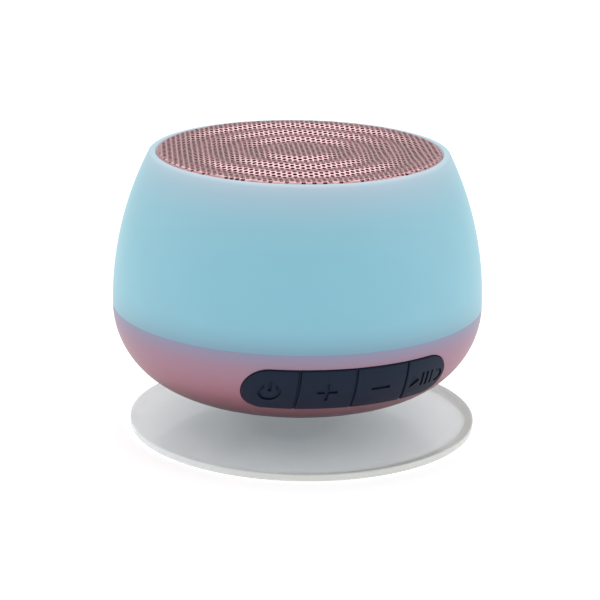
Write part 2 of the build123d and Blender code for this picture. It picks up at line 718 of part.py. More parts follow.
def make_driver_basket():
    """Pressed steel frame: flange, cone with four windows, spider ledge and bottom plate."""
    t = BASKET_T
    frame = spin_points(
        (26.5, FLANGE_SEAT_Z),
        (26.5, FLANGE_SEAT_Z + t),
        (23.3, FLANGE_SEAT_Z + t),
        (18.4, 52.0 + t),
        (16.0, 52.0 + t),
        (14.6, PLATE_Z[1] + t),
        (9.2, PLATE_Z[1] + t),
        (9.2, PLATE_Z[1]),
        (15.3, PLATE_Z[1]),
        (16.6, 52.0),
        (19.0, 52.0),
        (23.9, FLANGE_SEAT_Z),
    )
    window = Pos(18.5, 0, 56.3) * Box(14, 15, 4.6)
    for i in range(4):
        frame -= Rot(0, 0, 45 + 90 * i) * window
    for x, y in on_circle(DRIVER_SCREW_PCD_R, 4, 0):
        frame -= rod(x, y, 0.95, FLANGE_SEAT_Z - 1, FLANGE_SEAT_Z + 2)
    return frame


def make_terminal_strip():
    """Small board under the basket's ledge, where the speaker leads are soldered."""
    return Rot(0, 0, TERMINAL_AZ) * block(16.8, 22.6, -3.2, 3.2, 51.0, 52.0)


def make_driver_screws():
    seat = FLANGE_SEAT_Z + BASKET_T
    spots = on_circle(DRIVER_SCREW_PCD_R, 4, 0)
    return group(screw(x, y, seat, DRIVER_SCREW_R, 2.6, 1.3, 0.8) for x, y in spots)


def make_driver_top_plate():
    return tube(14.8, COIL_R + 0.75, *PLATE_Z)


def make_driver_magnet():
    ring = tube(16.0, 9.6, MAGNET_Z, PLATE_Z[0])
    return chamfer(ring.edges().filter_by(GeomType.CIRCLE).group_by(SortBy.RADIUS)[-1], 0.4)


def make_driver_yoke():
    plate = tube(14.8, 0, YOKE_Z, MAGNET_Z)
    return plate + tube(POLE_R, 0, MAGNET_Z, PLATE_Z[1]) - tube(2.2, 0, YOKE_Z - 1, PLATE_Z[1] + 1)


def make_coil_former():
    return tube(COIL_R, COIL_R - 0.15, 44.6, 56.2)


def make_voice_coil():
    return tube(COIL_R + 0.3, COIL_R, 45.0, 50.2)


def make_spider():
    """Corrugated cloth disc that centres the coil."""
    z = 52.0 + BASKET_T
    r0, r1, waves = COIL_R, 17.6, 4
    step = (r1 - 1.2 - r0 - 0.8) / (2 * waves)
    radii = [r0 + 0.8 + step * i for i in range(2 * waves + 1)]
    top = [(r0, z + 0.25), (radii[0], z + 0.25)]
    top += [(r, z + 0.25 + (0.7 if i % 2 else 0.0)) for i, r in enumerate(radii)][1:]
    top += [(r1, z + 0.25)]
    bottom = [(r, h - 0.25) for r, h in reversed(top)]
    return spin_points(*top, *bottom)


def make_cone():
    """Paper cone from the coil former out to its flat rim."""
    t = 0.4
    return spin_points(
        (COIL_R, CONE_NECK_Z - 0.5),
        (COIL_R + 0.7, CONE_NECK_Z - 0.5),
        (CONE_RIM_R - 0.9, CONE_RIM_Z - t),
        (CONE_RIM_R, CONE_RIM_Z - t),
        (CONE_RIM_R, CONE_RIM_Z),
        (CONE_RIM_R - 1.1, CONE_RIM_Z),
        (COIL_R + 0.5, CONE_NECK_Z),
        (COIL_R, CONE_NECK_Z),
    )


def make_cone_surround():
    """Half-roll rubber edge between the cone's rim and the basket's flange."""
    t = 0.4
    r_in, r_out = CONE_RIM_R + 0.1, SURROUND_R
    mid, roll = (r_in + r_out) / 2, (r_out - r_in) / 2
    z_in, z_out = CONE_RIM_Z, CONE_RIM_Z
    foot = FLANGE_SEAT_Z + BASKET_T
    return spin(
        line((CONE_RIM_R - 1.0, z_in), (r_in, z_in))
        + arc((mid, z_in), roll, 180, 0)
        + line((r_out, z_out), (r_out, foot), (25.0 - 1.1, foot), (25.0 - 1.1, foot + t))
        + line((25.0 - 1.1, foot + t), (r_out + t, foot + t), (r_out + t, z_out))
        + arc((mid, z_in), roll + t, 0, 165)
        + line(
            (mid + (roll + t) * cos(radians(165)), z_in + (roll + t) * sin(radians(165))),
            (CONE_RIM_R - 1.0, z_in + t),
            (CONE_RIM_R - 1.0, z_in),
        )
    )


def make_dust_cap():
    r, rise, t = 9.6, 2.6, 0.35
    slope = (CONE_RIM_Z - CONE_NECK_Z) / (CONE_RIM_R - 1.1 - COIL_R - 0.5)
    z = CONE_NECK_Z + slope * (r - COIL_R - 0.5)
    radius = (r * r + rise * rise) / (2 * rise)
    centre = z + rise - radius
    dome = Pos(0, 0, centre) * (Sphere(radius) - Sphere(radius - t))
    return dome & tube(r, 0, z, z + rise + 1)


# ---------------------------------------------------------------- grille
RIPPLE_FLAT = 6.6  # flat centre
RIPPLE_PITCH = 7.9
RIPPLE_DEPTH = 0.68
RIPPLES = 3
EDGE_ROUND = 1.0
CLOTH_R = 31.9
CLOTH_T = 0.25


def ripple_curve(z):
    """One smooth curve through the ripples, flat at the first and last ridge."""
    points = [pt(RIPPLE_FLAT, z)]
    for i in range(RIPPLES):
        r = RIPPLE_FLAT + RIPPLE_PITCH * i
        points += [pt(r + RIPPLE_PITCH / 2, z - RIPPLE_DEPTH), pt(r + RIPPLE_PITCH, z)]
    return Spline(*points, tangents=[Vector(1, 0, 0), Vector(1, 0, 0)])


def make_grille():
    """Rippled steel disc with a turned-down skirt. Its holes are left to the finished mesh."""
    t = GRILLE_T
    flat_out = RIPPLE_FLAT + RIPPLE_PITCH * RIPPLES
    corner = GRILLE_R - EDGE_ROUND
    return spin(
        line((0, GRILLE_Z), (RIPPLE_FLAT, GRILLE_Z))
        + [ripple_curve(GRILLE_Z)]
        + line((flat_out, GRILLE_Z), (corner, GRILLE_Z))
        + arc((corner, GRILLE_Z - EDGE_ROUND), EDGE_ROUND, 90, 0)
        + line((GRILLE_R, GRILLE_Z - EDGE_ROUND), (GRILLE_R, DECK_Z), (GRILLE_R - t, DECK_Z))
        + line((GRILLE_R - t, DECK_Z), (GRILLE_R - t, GRILLE_Z - EDGE_ROUND))
        + arc((corner, GRILLE_Z - EDGE_ROUND), EDGE_ROUND - t, 0, 90)
        + line((corner, GRILLE_Z - t), (flat_out, GRILLE_Z - t))
        + [ripple_curve(GRILLE_Z - t)]
        + line((RIPPLE_FLAT, GRILLE_Z - t), (0, GRILLE_Z - t), (0, GRILLE_Z))
    )


def make_grille_cloth():
    """Dust cloth stretched under the grille's ripples."""
    z = GRILLE_Z - GRILLE_T - RIPPLE_DEPTH
    return tube(CLOTH_R, 0, z - CLOTH_T, z)


# ---------------------------------------------------------------- wiring
PLUG_Z = BOARD_TOP + 1.0  # floor of a board connector


def make_speaker_wires():
    """Two leads from their connector up past the battery to the driver's terminals."""
    x, y = CONNECTORS["speaker"]
    turn = radians(TERMINAL_AZ)
    leads = []
    for s in (-1.2, 1.2):
        end = (21.2 * cos(turn) + s * sin(turn), 21.2 * sin(turn) - s * cos(turn))
        start = (x + s / 2, y)
        leads.append(
            wire(
                0.45,
                (0, 0, 1),
                (*start, PLUG_Z),
                (*start, PLUG_Z + 1.8),
                (end[0] - 0.3, (y + end[1]) / 2, 36.0),
                (*end, 47.0),
                (*end, 51.0),
            )
        )
    return group(leads)


def make_battery_wires():
    """Two leads from their connector round the tray's edge to the front of the cell."""
    x, y = CONNECTORS["battery"]
    z = TRAY_Z + TRAY_T + CELL[2] / 2
    return group(
        wire(
            0.4,
            (0, 1, 0),
            (x + s, y, PLUG_Z),
            (x + s, y, PLUG_Z + 1.8),
            (x + s, y - 2.8, 25.0),
            (x + s, -17.2, 27.4),
            (x + s, -15.2, z),
            (x + s, -CELL[1] / 2, z),
        )
        for s in (-0.7, 0.7)
    )


def make_led_wires():
    """The lamp's lead, ending in a solder joint on the ring board."""
    x, y = CONNECTORS["led"]
    top = FLANGE_Z + FLANGE_T + LED_BOARD_T
    lead = wire(
        0.5,
        (0, 0, 1),
        (x, y, PLUG_Z),
        (x, y, PLUG_Z + 1.8),
        (x + 3.0, y + 1.2, 25.0),
        (x + 14.0, y + 6.0, 25.6),
        (LED_WIRE_XY[0] - 2.5, LED_WIRE_XY[1] - 0.8, 27.2),
        (*LED_WIRE_XY, 30.2),
        (*LED_WIRE_XY, top + 0.1),
    )
    return lead + rod(*LED_WIRE_XY, 1.2, top, top + 0.5)


def make_key_ribbon():
    """Flat cable from the key board to the main board."""
    x, y = CONNECTORS["keys"]
    back = KEY_BOARD_Y + KEY_BOARD_T
    path = Polyline((back, PAD_Z + 3.0), (back + 1.6, PAD_Z + 3.0), (y - 1.2, 25.0), (y, 25.0), (y, PLUG_Z))
    strip = Plane.YZ * trace(path, 0.3)
    return Pos(x, 0, 0) * extrude(strip, 1.8, both=True)


# ---------------------------------------------------------------- build
def make_parts():
    keys = {
        "power": (0, icon_power),
        "plus": (1, icon_plus),
        "minus": (2, icon_minus),
        "play": (3, icon_play),
    }
    parts = {
        "suction_cup": make_suction_cup(),
        "cup_stud": make_cup_stud(),
        "stud_seal": make_stud_seal(),
        "socket_bush": make_socket_bush(),
        "pivot_washer": make_pivot_washer(),
        "pivot_screw": make_pivot_screw(),
        "base_shell": make_base_shell(),
        "seam_seal": make_seam_seal(),
        "keypad_mat": make_keypad_mat(),
        "keypad_bracket": make_keypad_bracket(),
        "bracket_screws": make_bracket_screws(),
        "key_board": make_key_board(),
        "key_board_screws": make_key_board_screws(),
        "tact_switches": make_tact_switches(),
        "port_cover": make_port_cover(),
        "port_cover_anchor": make_port_cover_anchor(),
        "main_board": make_main_board(),
        "bluetooth_chip": make_bluetooth_chip(),
        "amplifier_chip": make_amplifier_chip(),
        "capacitors": make_capacitors(),
        "board_connectors": make_board_connectors(),
        "usb_socket": make_usb_socket(),
        "microphone": make_microphone(),
        "battery_tray": make_battery_tray(),
        "battery": make_battery(),
        "board_screws": make_board_screws(),
        "inner_frame": make_inner_frame(),
        "led_board": make_led_board(),
        "led_chips": make_led_chips(),
        "case_screws": make_case_screws(),
        "diffuser_shell": make_diffuser_shell(),
        "top_seal": make_top_seal(),
        "driver_gasket": make_driver_gasket(),
        "driver_basket": make_driver_basket(),
        "terminal_strip": make_terminal_strip(),
        "driver_screws": make_driver_screws(),
        "driver_top_plate": make_driver_top_plate(),
        "driver_magnet": make_driver_magnet(),
        "driver_yoke": make_driver_yoke(),
        "coil_former": make_coil_former(),
        "voice_coil": make_voice_coil(),
        "spider": make_spider(),
        "cone": make_cone(),
        "cone_surround": make_cone_surround(),
        "dust_cap": make_dust_cap(),
        "grille": make_grille(),
        "grille_cloth": make_grille_cloth(),
        "speaker_wires": make_speaker_wires(),
        "battery_wires": make_battery_wires(),
        "led_wires": make_led_wires(),
        "key_ribbon": make_key_ribbon(),
    }
    for name, (index, icon) in keys.items():
        parts["key_" + name] = make_key(index, KEY_X[name], icon)
        parts["plunger_" + name] = make_plunger(KEY_X[name])
    return parts


os.makedirs("parts", exist_ok=True)
for name, shape in make_parts().items():
    export_step(shape, f"parts/{name}.step")
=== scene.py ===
import json
import math

import bmesh
import bpy
from mathutils import Matrix, Vector


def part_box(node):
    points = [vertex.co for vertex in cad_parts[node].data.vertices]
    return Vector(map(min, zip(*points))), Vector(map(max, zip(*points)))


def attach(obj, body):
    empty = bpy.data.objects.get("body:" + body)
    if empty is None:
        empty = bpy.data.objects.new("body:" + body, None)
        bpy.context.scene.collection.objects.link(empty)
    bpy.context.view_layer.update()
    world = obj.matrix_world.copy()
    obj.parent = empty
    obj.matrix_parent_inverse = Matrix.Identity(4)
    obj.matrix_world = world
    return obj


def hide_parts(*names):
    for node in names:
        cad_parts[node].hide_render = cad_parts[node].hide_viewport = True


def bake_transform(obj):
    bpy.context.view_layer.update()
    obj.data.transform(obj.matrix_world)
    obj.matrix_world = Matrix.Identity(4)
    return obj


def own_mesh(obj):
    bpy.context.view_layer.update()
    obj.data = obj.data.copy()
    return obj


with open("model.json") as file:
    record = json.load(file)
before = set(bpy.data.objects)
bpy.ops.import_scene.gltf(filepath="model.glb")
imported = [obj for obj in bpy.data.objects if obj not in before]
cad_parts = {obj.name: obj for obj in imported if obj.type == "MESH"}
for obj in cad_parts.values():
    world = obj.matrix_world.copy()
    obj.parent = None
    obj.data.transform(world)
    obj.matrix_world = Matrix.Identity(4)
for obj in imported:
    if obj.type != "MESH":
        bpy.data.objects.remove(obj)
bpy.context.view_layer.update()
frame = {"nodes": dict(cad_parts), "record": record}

MM = 0.001
NODES = frame["nodes"]
RECORD = frame["record"]
MIX_A = 6  # the two colour inputs of a Mix node set to RGBA
MIX_B = 7
MIX_OUT = 2  # and its colour output


def top_of(node):
    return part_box(node)[1][2] / MM


def low_of(node):
    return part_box(node)[0][2] / MM


def reach_of(node):
    """Radius of a round node, from its box."""
    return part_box(node)[1][0] / MM


RIM_Z = top_of("diffuser_shell")
GRILLE_Z = top_of("grille")
BODY_R = reach_of("diffuser_shell")
BOTTOM_Z = low_of("base_shell")
SEAM_Z = 30.5  # where the lamp shell meets the base
BOWL_ARC = SEAM_Z - BOTTOM_Z
BOWL_C = BODY_R - BOWL_ARC  # the bowl's curve is centred on this radius, at SEAM_Z
CAMERA_AZ = math.radians(-18.0)  # the camera stands left of the keys
CAMERA_DISTANCE = 0.509
CAMERA_TARGET = Vector((0, 0, 0.03069))
CAMERA_RISE = math.radians(16.63)  # height of the camera above its target, as an angle
CAMERA_PITCH = math.radians(16.69)
CAMERA_YAW = math.radians(0.07)
CAMERA_ROLL = math.radians(0.88)
SENSOR_MM = 36.0
FRAME_PX = 600.0
FOCAL_PX = 2130.0


# ---------------------------------------------------------------- node helpers
def new_material(name):
    mat = bpy.data.materials.new(name)
    mat.use_nodes = True
    nodes = mat.node_tree.nodes
    nodes.clear()
    out = nodes.new("ShaderNodeOutputMaterial")
    bsdf = nodes.new("ShaderNodeBsdfPrincipled")
    mat.node_tree.links.new(bsdf.outputs[0], out.inputs[0])
    return mat, bsdf


def add(mat, kind):
    return mat.node_tree.nodes.new(kind)


def join(mat, source, target):
    mat.node_tree.links.new(source, target)


def grey(value):
    return (value,) * 4


def srgb(r, g, b):
    """A colour given as 0-255 display values, in linear light."""
    def lin(v):
        v /= 255
        return v / 12.92 if v <= 0.04045 else ((v + 0.055) / 1.055) ** 2.4

    return (lin(r), lin(g), lin(b), 1.0)


def ramp(mat, stops, smooth=True):
    """Colour against a 0-1 value, through (place, colour) stops."""
    node = add(mat, "ShaderNodeValToRGB")
    node.color_ramp.interpolation = "B_SPLINE" if smooth else "LINEAR"
    elements = node.color_ramp.elements
    while len(elements) < len(stops):
        elements.new(0.5)
    for element, (place, colour) in zip(elements, stops):
        element.position = place
        element.color = colour
    return node


def coords(mat):
    return add(mat, "ShaderNodeTexCoord").outputs["Object"]


def height(mat, z0, z1):
    """0 at z0 and 1 at z1, in mm."""
    split = add(mat, "ShaderNodeSeparateXYZ")
    join(mat, coords(mat), split.inputs[0])
    span = add(mat, "ShaderNodeMapRange")
    span.inputs["From Min"].default_value = z0 * MM
    span.inputs["From Max"].default_value = z1 * MM
    join(mat, split.outputs["Z"], span.inputs["Value"])
    return span.outputs[0]


def noise(mat, size_mm, detail=3.0, stretch=(1, 1, 1)):
    """A noise value with features of about size_mm."""
    scale = add(mat, "ShaderNodeMapping")
    scale.inputs["Scale"].default_value = stretch
    join(mat, coords(mat), scale.inputs["Vector"])
    tex = add(mat, "ShaderNodeTexNoise")
    tex.inputs["Scale"].default_value = 1.0 / (size_mm * MM)
    tex.inputs["Detail"].default_value = detail
    join(mat, scale.outputs[0], tex.inputs["Vector"])
    return tex.outputs[0]


def vary(mat, colour, value, amount):
    """Lightens and darkens a colour by amount each way, as a 0-1 value says."""
    span = add(mat, "ShaderNodeMapRange")
    span.inputs["To Min"].default_value = 1.0 - amount
    span.inputs["To Max"].default_value = 1.0 + amount
    if isinstance(value, float):
        span.inputs["Value"].default_value = value
    else:
        join(mat, value, span.inputs["Value"])
    mix = add(mat, "ShaderNodeMix")
    mix.data_type = "RGBA"
    mix.blend_type = "MULTIPLY"
    mix.inputs["Factor"].default_value = 1.0
    if isinstance(colour, tuple):
        mix.inputs[MIX_A].default_value = colour
    else:
        join(mat, colour, mix.inputs[MIX_A])
    join(mat, span.outputs[0], mix.inputs[MIX_B])
    return mix.outputs[MIX_OUT]


def blend_colours(mat, factor, first, second):
    """From the colour socket first to the plain colour second, by factor."""
    mix = add(mat, "ShaderNodeMix")
    mix.data_type = "RGBA"
    join(mat, factor, mix.inputs["Factor"])
    join(mat, first, mix.inputs[MIX_A])
    mix.inputs[MIX_B].default_value = second
    return mix.outputs[MIX_OUT]


def bump(mat, bsdf, value, depth_mm, strength=1.0):
    node = add(mat, "ShaderNodeBump")
    node.inputs["Strength"].default_value = strength
    node.inputs["Distance"].default_value = depth_mm * MM
    join(mat, value, node.inputs["Height"])
    join(mat, node.outputs[0], bsdf.inputs["Normal"])


def wave(mat, size_mm, direction):
    """Bands across direction, one thread of a weave every size_mm."""
    tex = add(mat, "ShaderNodeTexWave")
    tex.bands_direction = direction
    tex.inputs["Scale"].default_value = 0.5 / (size_mm * MM)
    tex.inputs["Distortion"].default_value = 0.6  # threads are never quite straight
    tex.inputs["Detail Scale"].default_value = 2.0
    join(mat, coords(mat), tex.inputs["Vector"])
    return tex.outputs["Fac"]


def maths(mat, how, a, b):
    node = add(mat, "ShaderNodeMath")
    node.operation = how
    for i, v in enumerate((a, b)):
        if isinstance(v, (int, float)):
            node.inputs[i].default_value = v
        else:
            join(mat, v, node.inputs[i])
    return node.outputs[0]


def surface(
    name, colour, rough, metal=0.0, grain=1.0, change=0.06, depth=0.01, stretch=(1, 1, 1), weave=0.0
):
    """A finish with noise, or a weave, in its colour, roughness and bump. Sizes in mm."""
    mat, bsdf = new_material(name)
    if weave:
        value = maths(mat, "MAXIMUM", wave(mat, weave, "X"), wave(mat, weave, "Y"))
    else:
        value = noise(mat, grain, stretch=stretch)
    join(mat, vary(mat, colour, value, change), bsdf.inputs["Base Color"])
    span = add(mat, "ShaderNodeMapRange")
    span.inputs["To Min"].default_value = max(rough - ROUGH_SPREAD, 0.02)
    span.inputs["To Max"].default_value = min(rough + ROUGH_SPREAD, 1.0)
    join(mat, noise(mat, grain * 3), span.inputs["Value"])
    join(mat, span.outputs[0], bsdf.inputs["Roughness"])
    bsdf.inputs["Metallic"].default_value = metal
    bump(mat, bsdf, value, depth, 0.5)
    return mat


# ---------------------------------------------------------------- materials
LAMP_BODY = 0.35  # share of the lamp shell's colour that is reflected, not emitted
LAMP_GLOW = 0.70  # strength of the light it emits
REFLECTION_WHITE = 0.22  # how far the painted reflection fans on the suction cup turn white
REFLECTION_CLEAR = 0.10  # and how much more of the floor they let through
ROUGH_SPREAD = 0.06  # roughness varies by this much each way


def lamp_material():
    """Frosted shell lit from inside: deepest over the seam, paler at the lip, and paled at its edges by a
    painted sheen.
    """
    mat, bsdf = new_material("lamp_shell")
    glow = ramp(
        mat,
        [
            (0.0, srgb(120, 152, 172)),
            (0.06, srgb(127, 172, 190)),
            (0.16, srgb(133, 188, 206)),
            (0.50, srgb(134, 190, 207)),
            (0.78, srgb(141, 191, 207)),
            (0.92, srgb(163, 192, 208)),
            (0.985, srgb(175, 197, 213)),
            (1.0, srgb(208, 221, 232)),
        ],
    )
    join(mat, height(mat, SEAM_Z, RIM_Z), glow.inputs[0])
    # painted sheen: where the shell is seen edge-on, at its outline, its glow and colour turn paler
    edge = add(mat, "ShaderNodeLayerWeight")
    edge.inputs["Blend"].default_value = 0.2
    pale = blend_colours(mat, edge.outputs["Facing"], glow.outputs[0], srgb(167, 207, 216))
    speckle = vary(mat, pale, noise(mat, 9.0, 2.0), 0.02)
    dim = vary(mat, speckle, 0.0, 1.0 - LAMP_BODY)
    join(mat, dim, bsdf.inputs["Base Color"])
    join(mat, speckle, bsdf.inputs["Emission Color"])
    bsdf.inputs["Emission Strength"].default_value = LAMP_GLOW
    bsdf.inputs["Roughness"].default_value = 0.5
    bsdf.inputs["Specular IOR Level"].default_value = 0.25
    bump(mat, bsdf, noise(mat, 0.25, 2.0), 0.004, 0.3)
    return mat


def base_material():
    """Satin rose paint, with painted lavender light from the lamp fading down from the seam, and painted
    shade darkening it towards the foot of the bowl.
    """
    mat, bsdf = new_material("rose_paint")
    # painted light and shade: near black-red at the foot of the bowl, rose in the middle, lavender lamp
    # light near the seam
    tone = ramp(
        mat,
        [
            (0.0, srgb(42, 6, 14)),
            (0.12, srgb(66, 24, 34)),
            (0.35, srgb(144, 88, 100)),
            (0.6, srgb(161, 116, 131)),
            (0.82, srgb(158, 127, 146)),
            (0.93, srgb(148, 137, 160)),
            (1.0, srgb(138, 144, 170)),
        ],
    )
    join(mat, height(mat, BOTTOM_Z, SEAM_Z), tone.inputs[0])
    flake = noise(mat, 0.12, 1.0)
    join(mat, vary(mat, tone.outputs[0], flake, 0.08), bsdf.inputs["Base Color"])
    bsdf.inputs["Metallic"].default_value = 0.35
    bsdf.inputs["Roughness"].default_value = 0.42
    bsdf.inputs["Specular IOR Level"].default_value = 0.35
    bump(mat, bsdf, flake, 0.004, 0.25)
    return mat


def cup_material():
    """Clear soft plastic: a faintly cloudy film that is denser towards its edge, with painted shade
    darkening its middle under the body and painted reflections whitening fans at its sides.
    """
    mat, bsdf = new_material("clear_pvc")
    cloud = noise(mat, 14.0, 2.0)
    away = add(mat, "ShaderNodeVectorMath")
    away.operation = "LENGTH"
    join(mat, coords(mat), away.inputs[0])
    reach = add(mat, "ShaderNodeMapRange")
    reach.inputs["From Max"].default_value = 42.0 * MM
    join(mat, away.outputs["Value"], reach.inputs["Value"])
    # painted shade: greyer and darker towards the middle, under the body
    tone = ramp(
        mat,
        [
            (0.0, (0.62, 0.70, 0.76, 1.0)),
            (0.5, (0.72, 0.80, 0.85, 1.0)),
            (0.95, (0.84, 0.89, 0.91, 1.0)),
            (0.98, (0.70, 0.72, 0.68, 1.0)),
        ],
        False,
    )
    join(mat, reach.outputs[0], tone.inputs[0])
    # painted reflection: whiter, clearer fans across the skirt, to the camera's left and right of its
    # middle, stand in for the bright surroundings mirrored there
    turn = add(mat, "ShaderNodeTexGradient")
    turn.gradient_type = "RADIAL"
    join(mat, coords(mat), turn.inputs[0])
    reflection_fans = ramp(
        mat,
        [
            (0.0, grey(0.8)),
            (0.08, grey(0.45)),
            (0.11, grey(0.1)),
            (0.2, grey(0.0)),
            (0.30, grey(0.15)),
            (0.33, grey(0.5)),
            (0.45, grey(1.0)),
            (0.7, grey(0.0)),
            (0.93, grey(1.0)),
            (1.0, grey(0.8)),
        ],
        False,
    )
    join(mat, turn.outputs["Fac"], reflection_fans.inputs[0])
    white = maths(mat, "MULTIPLY", reflection_fans.outputs[0], REFLECTION_WHITE)
    milky_and_shaded = vary(mat, tone.outputs[0], cloud, 0.03)
    join(mat, blend_colours(mat, white, milky_and_shaded, grey(1.0)), bsdf.inputs["Base Color"])
    covers = [(0.0, grey(0.62)), (0.9, grey(0.5)), (0.965, grey(0.55)), (0.985, grey(0.85))]
    cover = ramp(mat, covers, False)
    join(mat, reach.outputs[0], cover.inputs[0])
    thin = maths(mat, "MULTIPLY", reflection_fans.outputs[0], REFLECTION_CLEAR)
    join(mat, maths(mat, "SUBTRACT", cover.outputs[0], thin), bsdf.inputs["Alpha"])
    bsdf.inputs["Roughness"].default_value = 0.08
    bsdf.inputs["IOR"].default_value = 1.8
    bsdf.inputs["Coat Weight"].default_value = 0.6
    bsdf.inputs["Coat Roughness"].default_value = 0.03
    bump(mat, bsdf, cloud, 0.1, 0.3)
    return mat


def key_material():
    """Matt rubber, with painted light turning it a shade lighter and bluer towards the top of the window."""
    mat, bsdf = new_material("key_rubber")
    # painted light: lighter and bluer towards the top of the window
    tone = ramp(mat, [(0.0, srgb(12, 18, 40)), (1.0, srgb(10, 28, 50))], False)
    join(mat, height(mat, 16, 27), tone.inputs[0])
    grain = noise(mat, 0.15, 3.0)
    join(mat, vary(mat, tone.outputs[0], grain, 0.10), bsdf.inputs["Base Color"])
    bsdf.inputs["Roughness"].default_value = 0.6
    bsdf.inputs["Specular IOR Level"].default_value = 0.2
    bump(mat, bsdf, grain, 0.01, 0.4)
    return mat


FINISHES = {
    "seal_rubber": dict(colour=srgb(150, 153, 155), rough=0.7, grain=0.4),
    "dark_rubber": dict(colour=srgb(40, 40, 44), rough=0.65, grain=0.3, change=0.1),
    "black_plastic": dict(colour=srgb(34, 34, 37), rough=0.5, grain=0.3, change=0.1),
    "white_plastic": dict(colour=srgb(236, 237, 234), rough=0.45, grain=0.6, change=0.02),
    "bearing_plastic": dict(colour=srgb(228, 225, 214), rough=0.35, grain=0.5, change=0.03),
    "board_green": dict(colour=srgb(30, 100, 68), rough=0.3, grain=0.8, change=0.25, depth=0.02),
    "board_white": dict(colour=srgb(232, 234, 232), rough=0.35, grain=0.8, change=0.05),
    "chip_black": dict(colour=srgb(28, 28, 31), rough=0.55, grain=0.15, change=0.15),
    "connector": dict(colour=srgb(232, 226, 206), rough=0.4, grain=0.5, change=0.04),
    "switch_metal": dict(colour=srgb(200, 202, 204), rough=0.3, metal=1.0, grain=0.3, stretch=(1, 8, 1)),
    "screw_steel": dict(colour=srgb(190, 192, 196), rough=0.35, metal=1.0, grain=0.3, stretch=(1, 1, 6)),
    "stainless": dict(colour=srgb(208, 209, 211), rough=0.28, metal=1.0, grain=0.4, stretch=(1, 1, 10)),
    "basket_black": dict(colour=srgb(38, 38, 41), rough=0.45, grain=0.5, change=0.1),
    "magnet": dict(colour=srgb(60, 60, 63), rough=0.6, metal=0.3, grain=0.3, change=0.15),
    "motor_steel": dict(colour=srgb(196, 196, 192), rough=0.38, metal=1.0, grain=0.4),
    "copper": dict(colour=srgb(190, 110, 66), rough=0.3, metal=1.0, grain=0.2, stretch=(1, 1, 12)),
    "former": dict(colour=srgb(214, 214, 212), rough=0.35, metal=1.0, grain=0.4, stretch=(1, 1, 8)),
    "paper": dict(colour=srgb(50, 50, 53), rough=0.9, grain=0.35, change=0.2, depth=0.04),
    "spider_cloth": dict(colour=srgb(204, 160, 92), rough=0.85, change=0.2, depth=0.05, weave=0.5),
    "black_cloth": dict(colour=srgb(52, 30, 38), rough=0.95, change=0.35, depth=0.05, weave=0.28),
    "cell_pouch": dict(colour=srgb(205, 207, 210), rough=0.3, metal=1.0, grain=2.0, change=0.05, depth=0.05),
    "wire_sheath": dict(colour=srgb(150, 32, 34), rough=0.5, grain=0.5, change=0.08),
    "ribbon": dict(colour=srgb(212, 168, 88), rough=0.4, grain=0.4, change=0.12, stretch=(8, 1, 1)),
    "led": dict(colour=srgb(248, 242, 200), rough=0.25, grain=0.3, change=0.04),
}
MATERIALS = {name: surface(name, **how) for name, how in FINISHES.items()}
MATERIALS["lamp_shell"] = lamp_material()
MATERIALS["rose_paint"] = base_material()
MATERIALS["clear_pvc"] = cup_material()
MATERIALS["key_rubber"] = key_material()
MATERIALS["rose_steel"] = surface(
    "rose_steel", srgb(228, 182, 186), 0.27, metal=0.85, grain=0.5, change=0.08, depth=0.01
)


# ---------------------------------------------------------------- mesh helpers
def piece(name, bm, slot, body=None, sharp=35.0):
    """Turns mesh data in mm into an object with a material, riding on body."""
    bmesh.ops.recalc_face_normals(bm, faces=bm.faces[:])
    limit = math.radians(sharp)
    for face in bm.faces:
        face.smooth = True
    for edge in bm.edges:
        if len(edge.link_faces) == 2 and edge.calc_face_angle(0.0) > limit:
            edge.smooth = False
    bmesh.ops.scale(bm, vec=(MM, MM, MM), verts=bm.verts[:])
    mesh = bpy.data.meshes.new(name)
    bm.to_mesh(mesh)
    bm.free()
    obj = bpy.data.objects.new(name, mesh)
    bpy.context.scene.collection.objects.link(obj)
    mesh.materials.append(MATERIALS[slot])
    if body:
        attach(obj, body)
    return obj


def lathe(points, segments=160):
    """A closed solid of revolution about Z from a closed (r, z) outline in mm."""
    bm = bmesh.new()
    rings = []
    for r, z in points:
        if r < 1e-6:
            rings.append([bm.verts.new((0, 0, z))])
        else:
            rings.append(
                [
                    bm.verts.new((r * math.cos(a), r * math.sin(a), z))
                    for a in (math.tau * i / segments for i in range(segments))
                ]
            )
    for one, two in zip(rings, rings[1:] + rings[:1]):
        for i in range(segments):
            j = (i + 1) % segments
            quad = [one[i % len(one)], one[j % len(one)], two[j % len(two)], two[i % len(two)]]
            corners = list(dict.fromkeys(quad))
            if len(corners) > 2:
                bm.faces.new(corners)
    return bm


def arc_points(centre, radius, start, end, count):
    """Points on an arc in the (r, z) plane, angles in degrees."""
    return [
        (
            centre[0] + radius * math.cos(math.radians(start + (end - start) * i / count)),
            centre[1] + radius * math.sin(math.radians(start + (end - start) * i / count)),
        )
        for i in range(count + 1)
    ]


def curve_points(spots, count=10):
    """A smooth path through spots (Catmull-Rom)."""
    out = []
    ends = [spots[0]] + list(spots) + [spots[-1]]
    def between(p, q, r, s, t):
        bend, twist = 2 * p - 5 * q + 4 * r - s, 3 * q - p - 3 * r + s
        return 0.5 * (2 * q + (r - p) * t + bend * t * t + twist * t**3)

    for a, b, c, d in zip(ends, ends[1:], ends[2:], ends[3:]):
        for i in range(count):
            out.append(tuple(between(p, q, r, s, i / count) for p, q, r, s in zip(a, b, c, d)))
    return out + [tuple(spots[-1])]


